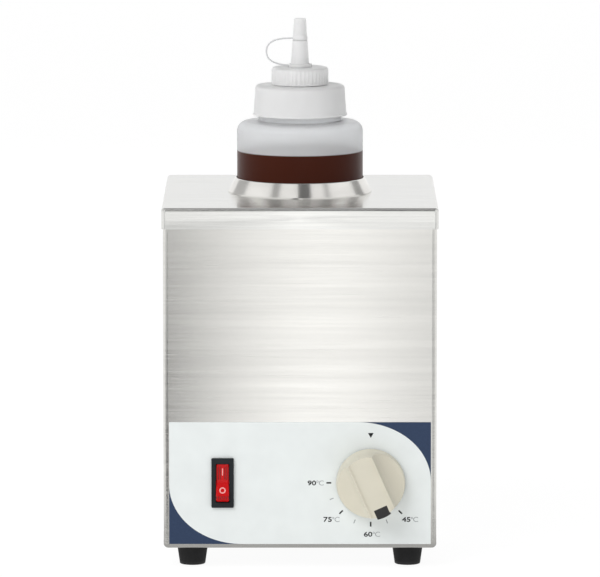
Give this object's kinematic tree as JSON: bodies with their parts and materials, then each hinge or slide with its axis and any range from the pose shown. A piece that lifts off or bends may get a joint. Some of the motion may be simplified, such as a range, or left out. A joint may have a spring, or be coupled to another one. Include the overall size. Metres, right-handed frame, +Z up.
{
  "type": "squeeze bottle warmer",
  "caption": "Counter-top sauce bottle warmer: folded stainless casing on rubber feet, heated round well with conical collar, rocker switch, thermostat knob and a translucent squeeze bottle.",
  "frame": {"origin": "on the surface that the feet stand on, straight below the axis of the well and bottle", "axes": "+Z up along the axis of the well, -Y out of the front with the switch and the knob, +X to the right seen from the front"},
  "size_m": [0.1828, 0.2451, 0.3555],
  "materials": {
    "stainless_brushed": "horizontally brushed stainless steel",
    "stainless_lid": "satin stainless steel",
    "stainless_turned": "turned and polished stainless steel",
    "stainless_inner": "mill finish stainless steel",
    "fastener_steel": "zinc plated steel",
    "gasket": "red silicone",
    "heater": "orange silicone",
    "sensor_copper": "bare copper",
    "insulation": "glass wool blanket",
    "cutout": "aluminium cap on a dark moulding",
    "tab_brass": "tinned brass",
    "foot_rubber": "matt black rubber",
    "gland_nylon": "black nylon",
    "gland_seal": "black neoprene",
    "block": "white polyamide",
    "label": "printed polyester film",
    "switch_black": "black polycarbonate",
    "switch_red": "lit translucent red polycarbonate",
    "thermostat_white": "ivory thermoset",
    "shaft_steel": "steel",
    "knob_beige": "beige thermoset",
    "pointer_black": "black print",
    "bottle_clear": "translucent polyethylene",
    "cap_clear": "translucent polyethylene",
    "seal_foam": "white foamed polyethylene",
    "sauce": "dark chocolate sauce",
    "wire_brown": "brown silicone insulation",
    "wire_blue": "blue silicone insulation",
    "wire_green": "green and yellow insulation"
  },
  "bodies": {
    "housing": {"base_plate": "stainless_inner", "bulb_clips": "stainless_inner", "capillary_tube": "sensor_copper", "casing": "stainless_brushed", "collar_nuts": "fastener_steel", "collar_ring": "stainless_turned", "collar_studs": "stainless_inner", "control_label": "label", "earth_nuts": "fastener_steel", "earth_stud": "fastener_steel", "earth_tag": "tab_brass", "foot_front_left": "foot_rubber", "foot_front_right": "foot_rubber", "foot_nuts": "fastener_steel", "foot_rear_left": "foot_rubber", "foot_rear_right": "foot_rubber", "foot_screws": "fastener_steel", "gland_body": "gland_nylon", "gland_cap": "gland_nylon", "gland_locknut": "gland_nylon", "gland_seal": "gland_seal", "heater_mat": "heater", "insulation_jacket": "insulation", "jacket_bands": "stainless_inner", "lid": "stainless_lid", "lid_screws": "fastener_steel", "rear_panel": "stainless_brushed", "rear_screws": "fastener_steel", "sensor_bulb": "sensor_copper", "switch_housing": "switch_black", "switch_terminals": "tab_brass", "terminal_block": "block", "thermal_cutout": "cutout", "thermostat_body": "thermostat_white", "thermostat_bush": "tab_brass", "thermostat_plate": "fastener_steel", "thermostat_screws": "fastener_steel", "thermostat_tabs": "tab_brass", "well_cup": "stainless_inner", "well_gasket": "gasket", "wire_earth": "wire_green", "wire_heater_live": "wire_brown", "wire_heater_neutral": "wire_blue", "wire_live_in": "wire_brown", "wire_neutral_in": "wire_blue", "wire_switched_live": "wire_brown", "wire_thermostat_out": "wire_brown"},
    "rocker": {"switch_rocker": "switch_red"},
    "knob": {"knob": "knob_beige", "knob_pointer": "pointer_black", "thermostat_shaft": "shaft_steel"},
    "bottle": {"bottle_body": "bottle_clear", "sauce": "sauce"},
    "cap_seal": {"cap_seal": "seal_foam"},
    "cap": {"bottle_cap": "cap_clear"},
    "nozzle_seal": {"nozzle_seal": "seal_foam"},
    "nozzle": {"nozzle_cap": "cap_clear", "tether_ring": "cap_clear", "tether_strap": "cap_clear"},
    "tip": {"tip_closure": "cap_clear"}
  },
  "joints": [
    {"name": "knob_turn", "type": "hinge", "parent": "housing", "child": "knob", "pos_m": [0.0466, -0.1003, 0.0572], "axis": [0, 1, 0], "range_deg": [-156, 114]},
    {"name": "rocker_tilt", "type": "hinge", "parent": "housing", "child": "rocker", "pos_m": [-0.051, -0.0993, 0.0572], "axis": [1, 0, 0], "range_deg": [0, 22]},
    {"name": "bottle_lift", "type": "slide", "parent": "housing", "child": "bottle", "axis": [0, 0, 1], "range_m": [0, 0.15]},
    {"name": "cap_rise", "type": "slide", "parent": "bottle", "child": "cap_seal", "axis": [0, 0, 1], "range_m": [0, 0.0051]},
    {"name": "cap_turn", "type": "hinge", "parent": "cap_seal", "child": "cap", "pos_m": [0, 0, 0.3], "axis": [0, 0, 1], "range_deg": [0, 450]},
    {"name": "nozzle_rise", "type": "slide", "parent": "cap", "child": "nozzle_seal", "axis": [0, 0, 1], "range_m": [0, 0.0038]},
    {"name": "nozzle_turn", "type": "hinge", "parent": "nozzle_seal", "child": "nozzle", "pos_m": [0, 0, 0.32], "axis": [0, 0, 1], "range_deg": [0, 450]},
    {"name": "tip_pull", "type": "slide", "parent": "nozzle", "child": "tip", "axis": [0, 0, 1], "range_m": [0, 0.016], "deforming": ["tether_strap"]}
  ],
  "couplings": [
    {"joint": "cap_rise", "follows": "cap_turn", "m_per_rad": 0.00063662},
    {"joint": "nozzle_rise", "follows": "nozzle_turn", "m_per_rad": 0.00047746}
  ]
}
